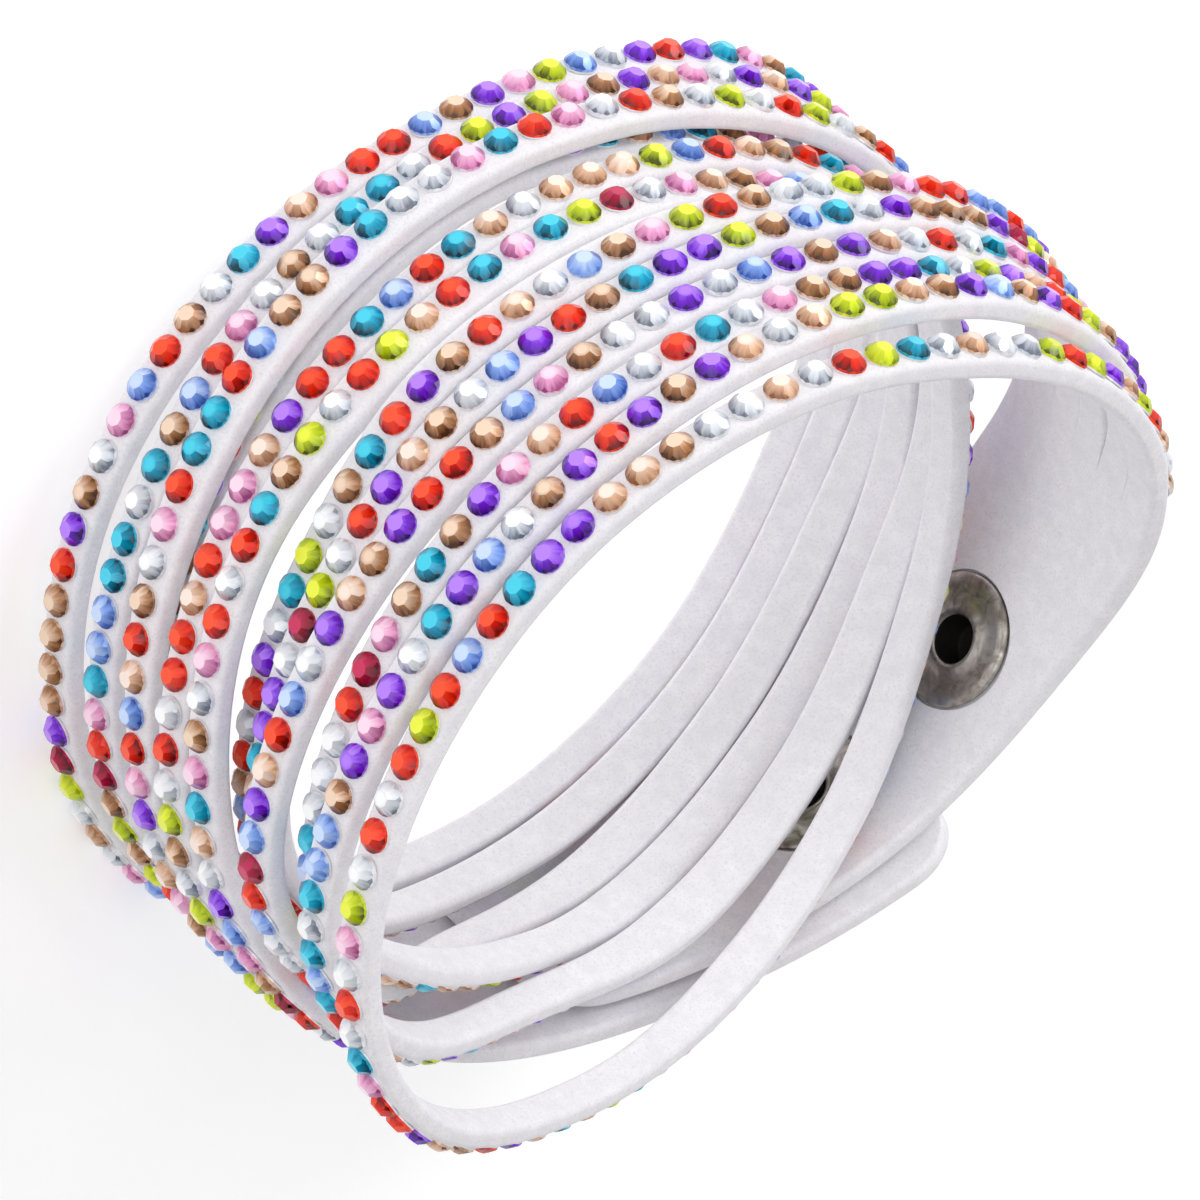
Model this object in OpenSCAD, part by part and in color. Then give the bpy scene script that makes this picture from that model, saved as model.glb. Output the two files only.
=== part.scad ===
// Wrap bracelet: one band of imitation suede, slit into six strips between two solid tabs, wound
// twice round the wrist and closed with snap studs. Each strip carries a row of small cut stones.
// Millimetres, +Z up. The bracelet lies on its side, its lowest edges on the plane Z = 0, and the
// origin is under the middle of its outline.

/* [Band] */
// Width of the flat band
band_w = 15.6; // [15.4:0.1:16]
// Thickness of the suede
band_t = 1.4; // [1.1:0.1:1.4]
// Width of the cut between two strips
slit_w = 0.1; // [0.1:0.05:0.2]
// Radius on the corners of the two tabs
tab_corner = 4; // [2:0.5:6]

/* [Wrist] */
// Half length of the oval, to the band's outer face
oval_x = 30; // [29:0.5:33]
// Half width of the oval, to the band's outer face
oval_y = 26.6; // [26:0.2:30]

/* [Stones] */
// Diameter of a stone
stone_d = 2; // [1.6:0.1:2.2]
// Height of a stone above the suede
stone_h = 0.8; // [0.5:0.1:0.9]
// Diameter of the flat table on top of a stone
table_d = 1.1; // [0.8:0.1:1.3]
// Distance between two stones along a strip
stone_pitch = 2.3; // [2.2:0.05:2.4]
// Stones on one strip
stone_count = 124; // [20:4:124]

/* [Snaps] */
// Outer diameter of the rolled ring on the inner side of a stud
ring_d = 8.6; // [7.6:0.2:9]
// Diameter of the hole in the middle of the ring
hole_d = 3; // [2.4:0.2:3.4]
// Diameter of the knob of a stud
knob_d = 4; // [3.8:0.1:4.4]
// Diameter of the flange on the outer side of a stud
flange_d = 6; // [5:0.5:6.5]
// Diameter of the cap on the outside of the closed snap
cap_d = 10; // [9:0.5:11]

/* [Rest] */
// Lean of the wrist opening about X, to where the edges rest
lean_x = -8.9; // [-10:0.1:-8]
// Lean of the wrist opening about Y, to where the edges rest
lean_y = 5.4; // [4:0.1:7]

/* [Hidden] */

STRIPS = 6;
lane_w = band_w / STRIPS;
strip_w = lane_w - slit_w;
gap = 0.1;

// Angles along the band where it starts, is slit, and ends
inner_end = -288;
slit_start = -182;
slit_end = 414;
outer_end = 488.5;
strip_step = 6.02;
tab_step = 6;
// Least angle between a tab's corner sections and the even ones
least_step = 1;
corner_steps = 4;
// Angle of the first stone on each strip
first_stone = -175;
// Half the angle from one stone to the next, about
half_stone_step = 2.3;
// Angles of the two studs on the inner tab; the second is the closed one
open_stud_at = -213.5;
closed_stud_at = -240.2;
// Both sit this far from the middle of the tab's width
stud_up = 0.8;

// How the strips lie along the two turns. The angle is counted along the band, from the inner
// tab's free end to the outer tab's: it passes the same side of the wrist again every 360 degrees.
// Height of strip 1 over the far rim, then the extra room between neighbouring strips in mm.
// A negative room means that the second strip slips under the first.
LAY = [
    // angle, strip 1, 1-2, 2-3, 3-4, 4-5, 5-6
    [-340, 4.9, 0.1, 0.1, 0.1, 0.1, 0.1],
    [-310, 6.9, 0.1, 0.1, 0.1, 0.1, 0.1],
    [-270, 9.3, 0.1, 0.1, 0.1, 0.1, 0.1],
    [-240, 11.5, 0.1, 0.1, 0.1, 0.1, 0.1],
    [-210, 13.9, 0.2, 0.2, 0.2, 0.2, 0.2],
    [-180, 18.2, 0.2, 0.2, 0.2, 0.2, 0.3],
    [-150, 20.5, 0, 0, 0, 0.4, 0],
    [-120, 20.6, 0, 0, 0, 0.3, 0.3],
    [-90, 19.6, 0, 0, 0.6, 0, 0.4],
    [-60, 19, 0, 0, 0.5, 0.1, 0.1],
    [-30, 18.7, 0, 0, 0.4, 0.1, 0.1],
    [0, 18.2, 0, 0.7, 0, 0.1, 1.2],
    [30, 15.9, 0.3, 2.2, -1.7, 1.3, 2.6],
    [60, 11.4, 0.6, 1, 1.6, -0.2, 4.3],
    [90, 8.6, 0.6, 1.1, 1.1, 1.4, 2.7],
    [120, 5.8, 0.5, 1.3, 0.3, 1.6, 1.7],
    [150, 2.6, 0.8, 1, 0.2, 1.4, 0.6],
    [180, 1.6, 0.9, 1.2, 0.4, 0.1, 0.1],
    [210, 1.7, 1, 2.9, -2.3, 0.1, 0.1],
    [240, 1.4, 0.8, 1.9, -2.3, 0.5, 0.2],
    [270, 1.5, 0.6, 0.7, -2.3, 0.9, 0.5],
    [300, 2.2, 0.5, 0.1, -2.3, 1.1, 0.3],
    [330, 3.9, 0.8, 0.1, -2.3, 0.6, 0.2],
    [360, 5.3, 0.9, 1.8, -2.3, 0.4, 0.3],
    [390, 6.6, 1.1, 3.1, -1.4, 0, 0],
    [404, 7.9, 0.6, 0.3, 0, 0, 0],
    [420, 9.3, 0, 0, 0, 0, 0],
    [450, 10.7, 0, 0, 0, 0, 0],
    [480, 13.6, 0, 0, 0, 0, 0],
    [510, 17, 0, 0, 0, 0, 0],
    [540, 20.2, 0, 0, 0, 0, 0],
];
// How far each strip rides outside the oval (or, below zero, inside it) at the same angles.
LIFT = [
    // angle, strip 1, 2, 3, 4, 5, 6
    [-340, 0.5, 0.5, 0.5, 0.5, 0.5, 0.5],
    [-310, 1, 1, 1, 1, 1, 1],
    [-270, 1.9, 1.9, 1.9, 1.9, 1.9, 1.9],
    [-240, 2.1, 2.1, 2.1, 2.1, 2.1, 2.1],
    [-210, 2.6, 2.2, 1.8, 1.4, 1, 0.6],
    [-180, 3, 1.6, 0.8, 0.2, -0.2, -0.8],
    [-150, 1.9, 1.4, 0.8, 0.1, 0, -1.6],
    [-120, 1.1, 1, 0.4, 0.1, 0.7, -1.4],
    [-90, 0.8, 0.6, 0.2, 0.5, 0.8, -0.2],
    [-60, 0.6, 0.5, 0.3, 0.5, 0.3, -0.1],
    [-30, -1.8, -0.8, 0.2, -0.6, 0, -0.6],
    [0, -3, -2, 0.8, -1.4, 0.6, 0.9],
    [30, -3.2, -2.9, -1.1, -3.4, -0.3, 1.9],
    [60, -2, -1.9, -0.9, -3.2, -1.5, 0.4],
    [90, -1.2, -1.5, -0.5, -1, -1.7, -0.5],
    [120, -0.4, -0.9, -1.4, -0.9, -2, -1.2],
    [150, 0.5, -0.5, -1, -0.6, -2.2, -2.3],
    [180, 1.1, 0.3, 0, -2.1, -1.8, -3.2],
    [210, 0.7, 0.6, 0.5, -1.8, -1.6, -2.2],
    [240, -1.3, -0.8, 0.4, -1.9, -1.1, -1.7],
    [270, -2, -1.1, 0.6, -1.7, -0.9, -0.4],
    [300, -1.1, -0.8, 0.4, -1.9, -0.7, -0.1],
    [330, 0.7, 0.1, 0.5, -1.8, -0.2, 0.6],
    [360, 1.3, 0.6, 1, -1.3, 1.1, 0.9],
    [390, 2.4, 1.6, 2, -0.3, 2, 1.6],
    [404, 2.7, 2.2, 2.4, 0.8, 2.4, 2.2],
    [420, 3.1, 3.1, 3.1, 3.1, 3.1, 3.1],
    [450, 3.9, 3.9, 3.9, 3.9, 3.9, 3.9],
    [480, 4.2, 4.2, 4.2, 4.2, 4.2, 4.2],
    [510, 4.3, 4.3, 4.3, 4.3, 4.3, 4.3],
    [540, 4.3, 4.3, 4.3, 4.3, 4.3, 4.3],
];
// How far each strip banks, in degrees: its upper edge leans outward
BANK = [
    // angle, strip 1, 2, 3, 4, 5, 6
    [-340, 0, 0, 0, 0, 0, 0],
    [-180, 0, 0, 0, 0, 0, 0],
    [30, 0, 0, 0, 0, 0, 0],
    [60, 8, 8, 6, 6, 6, 0],
    [90, 18, 18, 14, 14, 12, 4],
    [120, 24, 22, 22, 20, 16, 6],
    [150, 18, 18, 16, 14, 10, 4],
    [180, 6, 6, 6, 4, 2, 0],
    [210, 0, 0, 0, 0, 0, 0],
    [360, 0, 0, 0, 0, 0, 0],
    [540, 0, 0, 0, 0, 0, 0],
];

// Row of a table that starts the stretch holding angle x
function stretch(t, x, i = 1) = (i >= len(t) - 3 || x < t[i + 1][0]) ? i : stretch(t, x, i + 1);

// Smooth curve through column c of a table
function blend(a, b, ma, mb, u) =
    (2 * u * u * u - 3 * u * u + 1) * a + (u * u * u - 2 * u * u + u) * ma
    + (3 * u * u - 2 * u * u * u) * b + (u * u * u - u * u) * mb;
function along(t, c, x) =
    let (i = stretch(t, x), span = t[i + 1][0] - t[i][0])
    blend(t[i][c], t[i + 1][c],
          (t[i + 1][c] - t[i - 1][c]) / (t[i + 1][0] - t[i - 1][0]) * span,
          (t[i + 2][c] - t[i][c]) / (t[i + 2][0] - t[i][0]) * span,
          (x - t[i][0]) / span);

function oval(x) = oval_x * oval_y / norm([oval_y * cos(x), oval_x * sin(x)]);
function height(s, x) = s == 1 ? along(LAY, 1, x) : height(s - 1, x) + lane_w + along(LAY, s, x);
function lift(s, x) = along(LIFT, s, x);

// Middle of strip s on the outer face, at angle x
function mid(s, x) =
    let (r = oval(x) + lift(s, x))
    [r * cos(x), r * sin(x), height(s, x)];

function unit(v) = v / norm(v);
function heading(s, x) = unit(mid(s, x + 1) - mid(s, x - 1));
function level_outward(s, x) = unit(cross(heading(s, x), [0, 0, 1]));
// A strip's own upright: it leans outward where the strip banks
function upright(s, x) =
    let (bank = along(BANK, s, x))
    [0, 0, 1] * cos(bank) + level_outward(s, x) * sin(bank);
function outward(s, x) = unit(cross(heading(s, x), upright(s, x)));
function across(s, x) = cross(outward(s, x), heading(s, x));

// Four corners of strip s at angle x: outer low, outer high, inner high, inner low
function strip_ring(s, x) =
    let (m = mid(s, x), b = upright(s, x) * strip_w / 2, t = outward(s, x) * band_t)
    [m - b, m + b, m + b - t, m - b - t];

// A tab's section: seven points on the outer face, then seven on the inner one.
// Its width shrinks over the rounded corners, at distance d from the free end.
function corner_inset(d) =
    d >= tab_corner ? 0 : tab_corner - sqrt(tab_corner * tab_corner - pow(tab_corner - d, 2));
function lane_edge(j, x) =
    j == 0 ? (3 * mid(1, x) - mid(2, x)) / 2
    : j == STRIPS ? (3 * mid(STRIPS, x) - mid(STRIPS - 1, x)) / 2
    : (mid(j, x) + mid(j + 1, x)) / 2;
function tab_mid(x) = lane_edge(STRIPS / 2, x);
function tab_across(x) = unit(mid(STRIPS, x) - mid(1, x));
function tab_heading(x) = unit(tab_mid(x + 1) - tab_mid(x - 1));
function tab_outward(x) = unit(cross(tab_heading(x), tab_across(x)));
function tab_ring(x, d) =
    let (m = tab_mid(x), k = 1 - 2 * corner_inset(d) / band_w, t = tab_outward(x) * band_t,
         outer = [for (j = [0:STRIPS]) m + (lane_edge(j, x) - m) * k])
    concat(outer, [for (p = outer) p - t]);

// Angles of the sections: close together over the corners, then in even steps to the slits
mm_per_degree = PI * (oval_x + oval_y) / 360;
function corner_d(i) = tab_corner * (1 - cos(90 * i / corner_steps));
corner_ds = [for (i = [0:corner_steps]) corner_d(i)];
corner_span = tab_corner / mm_per_degree + least_step;
inner_xs = [for (x = [slit_start - tab_step:-tab_step:inner_end + corner_span]) x];
outer_xs = [for (x = [slit_end + tab_step:tab_step:outer_end - corner_span]) x];
reversed_inner = [for (i = [len(inner_xs) - 1:-1:0]) inner_xs[i]];
INNER_TAB = concat(
    [for (d = corner_ds) [inner_end + d / mm_per_degree, d]],
    [for (x = reversed_inner) [x, tab_corner]],
    [[slit_start, tab_corner]]);
OUTER_TAB = concat(
    [[slit_end, tab_corner]],
    [for (x = outer_xs) [x, tab_corner]],
    [for (i = [corner_steps:-1:0]) [outer_end - corner_ds[i] / mm_per_degree, corner_ds[i]]]);
strip_xs = [for (x = [slit_start + strip_step:strip_step:slit_end - strip_step / 2]) x];

// The band is one closed skin: inner tab, six strips, outer tab. At the ends of the slits each
// strip grows out of two neighbouring points of the tab's section on each face.
TAB_N = 2 * (STRIPS + 1);
inner_n = len(INNER_TAB) * TAB_N;
strip_n = len(strip_xs) * 4;
outer_0 = inner_n + STRIPS * strip_n;
BAND_POINTS = concat(
    [for (r = INNER_TAB) each tab_ring(r[0], r[1])],
    [for (s = [1:STRIPS]) for (x = strip_xs) each strip_ring(s, x)],
    [for (r = OUTER_TAB) each tab_ring(r[0], r[1])]);

// Round a tab's section: up the outer face, then back down the inner face
function tab_loop(ring_0) =
    concat([for (j = [0:STRIPS]) ring_0 + j], [for (j = [STRIPS:-1:0]) ring_0 + STRIPS + 1 + j]);
// Where strip s leaves a tab: the same four corners as a strip's section
function root(ring_0, s) =
    [ring_0 + s - 1, ring_0 + s, ring_0 + STRIPS + 1 + s, ring_0 + STRIPS + s];
function strip_loop(s, i) = [for (c = [0:3]) inner_n + (s - 1) * strip_n + i * 4 + c];
function skin(a, b) =
    [for (i = [0:len(a) - 1]) let (j = (i + 1) % len(a))
        each [[a[i], a[j], b[j]], [a[i], b[j], b[i]]]];
function end_cap(ring_0, flip) =
    [for (j = [0:STRIPS - 1])
        let (a = ring_0 + j, b = a + 1, c = b + STRIPS + 1, d = a + STRIPS + 1)
        each flip ? [[a, c, b], [a, d, c]] : [[a, b, c], [a, c, d]]];
last_inner = inner_n - TAB_N;
BAND_FACES = concat(
    end_cap(0, true),
    [for (k = [0:len(INNER_TAB) - 2]) each skin(tab_loop(k * TAB_N), tab_loop((k + 1) * TAB_N))],
    [for (s = [1:STRIPS]) each concat(
        skin(root(last_inner, s), strip_loop(s, 0)),
        [for (i = [0:len(strip_xs) - 2]) each skin(strip_loop(s, i), strip_loop(s, i + 1))],
        skin(strip_loop(s, len(strip_xs) - 1), root(outer_0, s)))],
    [for (k = [0:len(OUTER_TAB) - 2])
        each skin(tab_loop(outer_0 + k * TAB_N), tab_loop(outer_0 + (k + 1) * TAB_N))],
    end_cap(outer_0 + (len(OUTER_TAB) - 1) * TAB_N, false));

// Puts its children on a tab: x along the band, z outward, origin on the outer face
module on_tab(x) {
    m = tab_mid(x);
    h = tab_heading(x);
    n = tab_outward(x);
    b = cross(n, h);
    multmatrix([[h[0], b[0], n[0], m[0]], [h[1], b[1], n[1], m[1]], [h[2], b[2], n[2], m[2]]])
        children();
}
module on_stud(x) {
    on_tab(x) translate([0, stud_up, 0]) children();
}

// Angles of the stones on strip s, at an even pitch along its outer face
function mm_per_degree_on(s, x) = norm(mid(s, x + 0.5) - mid(s, x - 0.5));
function stone_xs(s, x = first_stone, n = stone_count) =
    n == 0 ? [] : concat([x],
        stone_xs(s, x + stone_pitch / mm_per_degree_on(s, x + half_stone_step), n - 1));

// One stone: an octagon on the suede, eight sloping facets and a flat table.
// Its foot is a hair above the suede.
function stone_points(s, x) =
    let (m = mid(s, x), n = outward(s, x), h = heading(s, x), b = across(s, x))
    [for (level = [[gap, stone_d], [stone_h, table_d]])
        for (k = [0:7])
            m + n * level[0] + (h * cos(45 * k + 22.5) + b * sin(45 * k + 22.5)) * level[1] / 2];
function stone_faces(o) = concat(
    [[for (k = [0:7]) o + k]],
    [[for (k = [7:-1:0]) o + 8 + k]],
    [for (k = [0:7]) let (j = (k + 1) % 8) [o + k, o + 8 + k, o + 8 + j, o + j]]);

// A whole row of stones
module stone_row(s) {
    xs = stone_xs(s);
    polyhedron(
        points = [for (x = xs) each stone_points(s, x)],
        faces = [for (i = [0:len(xs) - 1]) each stone_faces(16 * i)],
        convexity = 10);
}

// The bracelet lies on its side: it leans until three stretches of its edge meet the plane below
function turned(p) =
    let (y = p[1] * cos(lean_x) - p[2] * sin(lean_x), z = p[1] * sin(lean_x) + p[2] * cos(lean_x))
    [p[0] * cos(lean_y) + z * sin(lean_y), y, -p[0] * sin(lean_y) + z * cos(lean_y)];
OUTLINE = concat(
    [for (p = BAND_POINTS) turned(p)],
    [for (s = [1, STRIPS]) for (x = stone_xs(s)) for (p = stone_points(s, x)) turned(p)]);
outline_x = [for (p = OUTLINE) p[0]];
outline_y = [for (p = OUTLINE) p[1]];
outline_z = [for (p = OUTLINE) p[2]];
FOOT = [(min(outline_x) + max(outline_x)) / 2, (min(outline_y) + max(outline_y)) / 2, min(outline_z)];
module laid_down() {
    translate(-FOOT) rotate([lean_x, lean_y, 0]) children();
}

// The snaps. In a tab's own frame z = 0 is the outer face at the middle of the snap.
shank_d = 4.6;
bore_d = shank_d + 3 * gap;
press = 0.2;
ring_t = 0.6;
ring_back = -band_t + press - gap;
flange_t = 0.3;
knob_top = 1.6;
neck_d = knob_d - 0.6;
bead_h = 0.7;
hole_top = 0.5;
barrel_d = knob_d + 2;
barrel_bore_d = barrel_d + 3 * gap;
cap_h = 1.6;
cap_rim = 0.5;
cap_r = (pow(cap_d / 2, 2) + pow(cap_h - cap_rim, 2)) / (2 * (cap_h - cap_rim));
// Distance from the outer face of the inner tab to that of the outer tab over it
cover = (tab_mid(closed_stud_at + 720) - tab_mid(closed_stud_at)) * tab_outward(closed_stud_at);

// A stud is riveted through the inner tab: a rolled ring inside, a flange and a knob outside
module stud() {
    difference() {
        union() {
            translate([0, 0, ring_back - ring_t]) rotate_extrude($fn = 48) {
                square([(ring_d - ring_t) / 2, ring_t]);
                translate([(ring_d - ring_t) / 2, ring_t / 2]) circle(d = ring_t, $fn = 24);
            }
            translate([0, 0, ring_back - ring_t / 2])
                cylinder(d = shank_d, h = gap + flange_t / 2 - ring_back + ring_t / 2, $fn = 48);
            translate([0, 0, gap]) cylinder(d = flange_d, h = flange_t, $fn = 48);
            translate([0, 0, gap]) cylinder(d = neck_d, h = knob_top - gap - bead_h / 2, $fn = 48);
            translate([0, 0, knob_top - bead_h]) rotate_extrude($fn = 48) {
                square([(knob_d - bead_h) / 2, bead_h]);
                translate([(knob_d - bead_h) / 2, bead_h / 2]) circle(d = bead_h, $fn = 24);
            }
        }
        translate([0, 0, ring_back - 2 * ring_t])
            cylinder(d = hole_d, h = hole_top - ring_back + 2 * ring_t, $fn = 48);
    }
}

// What a stud takes out of the suede: its bore, and the seat that its ring is pressed into
module stud_seat() {
    translate([0, 0, -2 * band_t]) {
        cylinder(d = bore_d, h = 2 * band_t + gap, $fn = 48);
        cylinder(d = ring_d + 3 * gap, h = band_t + press, $fn = 48);
    }
}

module suede_band() {
    color("whitesmoke") laid_down() difference() {
        polyhedron(points = BAND_POINTS, faces = BAND_FACES, convexity = 10);
        for (x = [open_stud_at, closed_stud_at]) on_stud(x) stud_seat();
        on_stud(closed_stud_at) translate([0, 0, cover - band_t - 2 * gap])
            cylinder(d = barrel_bore_d, h = band_t + 6 * gap, $fn = 48);
    }
}

module stones_strip_1() {
    color("mediumpurple") laid_down() stone_row(1);
}

module stones_strip_6() {
    color("orangered") laid_down() stone_row(STRIPS);
}

module snap_stud_open() {
    color("gray") laid_down() on_stud(open_stud_at) stud();
}

module snap_stud_closed() {
    color("gray") laid_down() on_stud(closed_stud_at) stud();
}

// The socket closes over the knob through the outer tab, under a domed cap
module snap_socket() {
    color("darkgray") laid_down() on_stud(closed_stud_at) translate([0, 0, cover]) difference() {
        union() {
            translate([0, 0, -band_t]) cylinder(d = barrel_d, h = band_t + 2 * gap, $fn = 48);
            intersection() {
                translate([0, 0, gap + cap_h - cap_r]) sphere(r = cap_r, $fn = 96);
                translate([0, 0, gap]) cylinder(d = cap_d, h = cap_h, $fn = 64);
            }
        }
        translate([0, 0, -2 * band_t]) cylinder(d = knob_d + 3 * gap, h = 2 * band_t - gap, $fn = 48);
    }
}

suede_band();
stones_strip_1();
stones_strip_6();
snap_stud_open();
snap_stud_closed();
snap_socket();
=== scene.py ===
# %% [markdown]
# # A double wrap bracelet with rows of small stones
#
# The real thing is one long flat band of white imitation suede. Five slits cut its middle into six
# narrow strips, and each strip carries a row of tiny foil-backed glass stones. The band goes twice
# round the wrist and closes with a snap through its two solid ends. It lies here on its side, as it
# would on a table, and the camera looks at it from the angle of the product picture.
#
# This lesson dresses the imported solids: the band gets soft cut edges and a nap, the stones get
# their cut and their colours, and the snaps their rolled metal.

# %% Load the frame
import math
import random

import bmesh
import bpy
from mathutils import Matrix, Vector


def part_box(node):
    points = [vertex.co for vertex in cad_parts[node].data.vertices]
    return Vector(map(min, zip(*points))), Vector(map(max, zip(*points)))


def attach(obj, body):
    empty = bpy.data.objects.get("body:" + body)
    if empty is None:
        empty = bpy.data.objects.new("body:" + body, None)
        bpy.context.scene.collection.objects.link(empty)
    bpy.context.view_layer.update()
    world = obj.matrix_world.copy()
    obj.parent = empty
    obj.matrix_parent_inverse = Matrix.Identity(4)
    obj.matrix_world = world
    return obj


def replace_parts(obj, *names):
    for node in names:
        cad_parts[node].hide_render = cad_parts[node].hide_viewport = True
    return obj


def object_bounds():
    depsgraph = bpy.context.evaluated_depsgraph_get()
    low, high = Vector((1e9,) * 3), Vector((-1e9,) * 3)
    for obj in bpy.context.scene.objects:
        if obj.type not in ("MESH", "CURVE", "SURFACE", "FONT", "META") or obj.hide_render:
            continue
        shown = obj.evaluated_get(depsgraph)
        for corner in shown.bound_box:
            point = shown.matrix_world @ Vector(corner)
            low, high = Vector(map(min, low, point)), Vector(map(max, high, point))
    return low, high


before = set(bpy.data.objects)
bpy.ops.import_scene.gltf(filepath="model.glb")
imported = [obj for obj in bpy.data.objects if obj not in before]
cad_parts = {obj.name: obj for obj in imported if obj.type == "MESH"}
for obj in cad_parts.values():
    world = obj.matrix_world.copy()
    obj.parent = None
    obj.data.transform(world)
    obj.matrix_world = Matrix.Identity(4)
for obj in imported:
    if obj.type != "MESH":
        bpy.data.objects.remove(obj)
cad_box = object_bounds()
print("solids in the frame:", sorted(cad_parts))

# %% [markdown]
# Sizes of the real object in millimetres. A band of this kind is 15 to 16 mm wide and 1.4 mm
# thick. The stones are the 2 mm flat-back size. Blender works in metres, so one value turns mm
# into metres.

# %% Sizes
MM = 0.001
STRIPS = 6
BAND_WIDTH = 15.6
BAND_THICK = 1.4
LANE = BAND_WIDTH / STRIPS
SLIT = 0.1
STRIP_WIDTH = LANE - SLIT
OVAL_X, OVAL_Y = 30.0, 26.6
TAB_CORNER = 4.0

# Angles along the band where it starts, is slit, and ends
INNER_END, SLIT_START, SLIT_END, OUTER_END = -288.0, -182.0, 414.0, 488.5
print("strip width", round(STRIP_WIDTH, 2), "mm, band", round(BAND_WIDTH, 1), "mm")

# %% [markdown]
# How the strips lie. A real wrap bracelet is never tidy: its strips fan out, climb over one another
# and slip under a neighbour. The angle is counted along the band, so it passes the same side of the
# wrist again every 360 degrees. Each row gives the strips at one angle, and the strips run smoothly
# through the rows. The solids are built from these tables too, but for the rows 240 to 330, where
# strip 4 slips further under strip 3 here, as the photo shows it.

# %% Tables of the winding
# Angle, height of strip 1, then the extra room 1-2, 2-3, 3-4, 4-5, 5-6 (below zero: slips under)
LAY = [
    (-340, 4.9, 0.1, 0.1, 0.1, 0.1, 0.1),
    (-310, 6.9, 0.1, 0.1, 0.1, 0.1, 0.1),
    (-270, 9.3, 0.1, 0.1, 0.1, 0.1, 0.1),
    (-240, 11.5, 0.1, 0.1, 0.1, 0.1, 0.1),
    (-210, 13.9, 0.2, 0.2, 0.2, 0.2, 0.2),
    (-180, 18.2, 0.2, 0.2, 0.2, 0.2, 0.3),
    (-150, 20.5, 0, 0, 0, 0.4, 0),
    (-120, 20.6, 0, 0, 0, 0.3, 0.3),
    (-90, 19.6, 0, 0, 0.6, 0, 0.4),
    (-60, 19, 0, 0, 0.5, 0.1, 0.1),
    (-30, 18.7, 0, 0, 0.4, 0.1, 0.1),
    (0, 18.2, 0, 0.7, 0, 0.1, 1.2),
    (30, 15.9, 0.3, 2.2, -1.7, 1.3, 2.6),
    (60, 11.4, 0.6, 1, 1.6, -0.2, 4.3),
    (90, 8.6, 0.6, 1.1, 1.1, 1.4, 2.7),
    (120, 5.8, 0.5, 1.3, 0.3, 1.6, 1.7),
    (150, 2.6, 0.8, 1, 0.2, 1.4, 0.6),
    (180, 1.6, 0.9, 1.2, 0.4, 0.1, 0.1),
    (210, 1.7, 1, 2.9, -2.3, 0.1, 0.1),
    (240, 1.4, 0.8, 1.9, -2.7, 0.9, 0.2),
    (270, 1.5, 0.6, 0.7, -3, 1.6, 0.5),
    (300, 2.2, 0.5, 0.1, -2.6, 1.4, 0.3),
    (330, 3.9, 0.8, 0.1, -2.5, 0.8, 0.2),
    (360, 5.3, 0.9, 1.8, -2.3, 0.4, 0.3),
    (390, 6.6, 1.1, 3.1, -1.4, 0, 0),
    (404, 7.9, 0.6, 0.3, 0, 0, 0),
    (420, 9.3, 0, 0, 0, 0, 0),
    (450, 10.7, 0, 0, 0, 0, 0),
    (480, 13.6, 0, 0, 0, 0, 0),
    (510, 17, 0, 0, 0, 0, 0),
    (540, 20.2, 0, 0, 0, 0, 0),
]

# Angle, how far strips 1 to 6 ride outside the oval
LIFT = [
    (-340, 0.5, 0.5, 0.5, 0.5, 0.5, 0.5),
    (-310, 1, 1, 1, 1, 1, 1),
    (-270, 1.9, 1.9, 1.9, 1.9, 1.9, 1.9),
    (-240, 2.1, 2.1, 2.1, 2.1, 2.1, 2.1),
    (-210, 2.6, 2.2, 1.8, 1.4, 1, 0.6),
    (-180, 3, 1.6, 0.8, 0.2, -0.2, -0.8),
    (-150, 1.9, 1.4, 0.8, 0.1, 0, -1.6),
    (-120, 1.1, 1, 0.4, 0.1, 0.7, -1.4),
    (-90, 0.8, 0.6, 0.2, 0.5, 0.8, -0.2),
    (-60, 0.6, 0.5, 0.3, 0.5, 0.3, -0.1),
    (-30, -1.8, -0.8, 0.2, -0.6, 0, -0.6),
    (0, -3, -2, 0.8, -1.4, 0.6, 0.9),
    (30, -3.2, -2.9, -1.1, -3.4, -0.3, 1.9),
    (60, -2, -1.9, -0.9, -3.2, -1.5, 0.4),
    (90, -1.2, -1.5, -0.5, -1, -1.7, -0.5),
    (120, -0.4, -0.9, -1.4, -0.9, -2, -1.2),
    (150, 0.5, -0.5, -1, -0.6, -2.2, -2.3),
    (180, 1.1, 0.3, 0, -2.1, -1.8, -3.2),
    (210, 0.7, 0.6, 0.5, -1.8, -1.6, -2.2),
    (240, -1.3, -0.8, 0.4, -1.9, -1.1, -1.7),
    (270, -2, -1.1, 0.6, -1.7, -0.9, -0.4),
    (300, -1.1, -0.8, 0.4, -1.9, -0.7, -0.1),
    (330, 0.7, 0.1, 0.5, -1.8, -0.2, 0.6),
    (360, 1.3, 0.6, 1, -1.3, 1.1, 0.9),
    (390, 2.4, 1.6, 2, -0.3, 2, 1.6),
    (404, 2.7, 2.2, 2.4, 0.8, 2.4, 2.2),
    (420, 3.1, 3.1, 3.1, 3.1, 3.1, 3.1),
    (450, 3.9, 3.9, 3.9, 3.9, 3.9, 3.9),
    (480, 4.2, 4.2, 4.2, 4.2, 4.2, 4.2),
    (510, 4.3, 4.3, 4.3, 4.3, 4.3, 4.3),
    (540, 4.3, 4.3, 4.3, 4.3, 4.3, 4.3),
]

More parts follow.
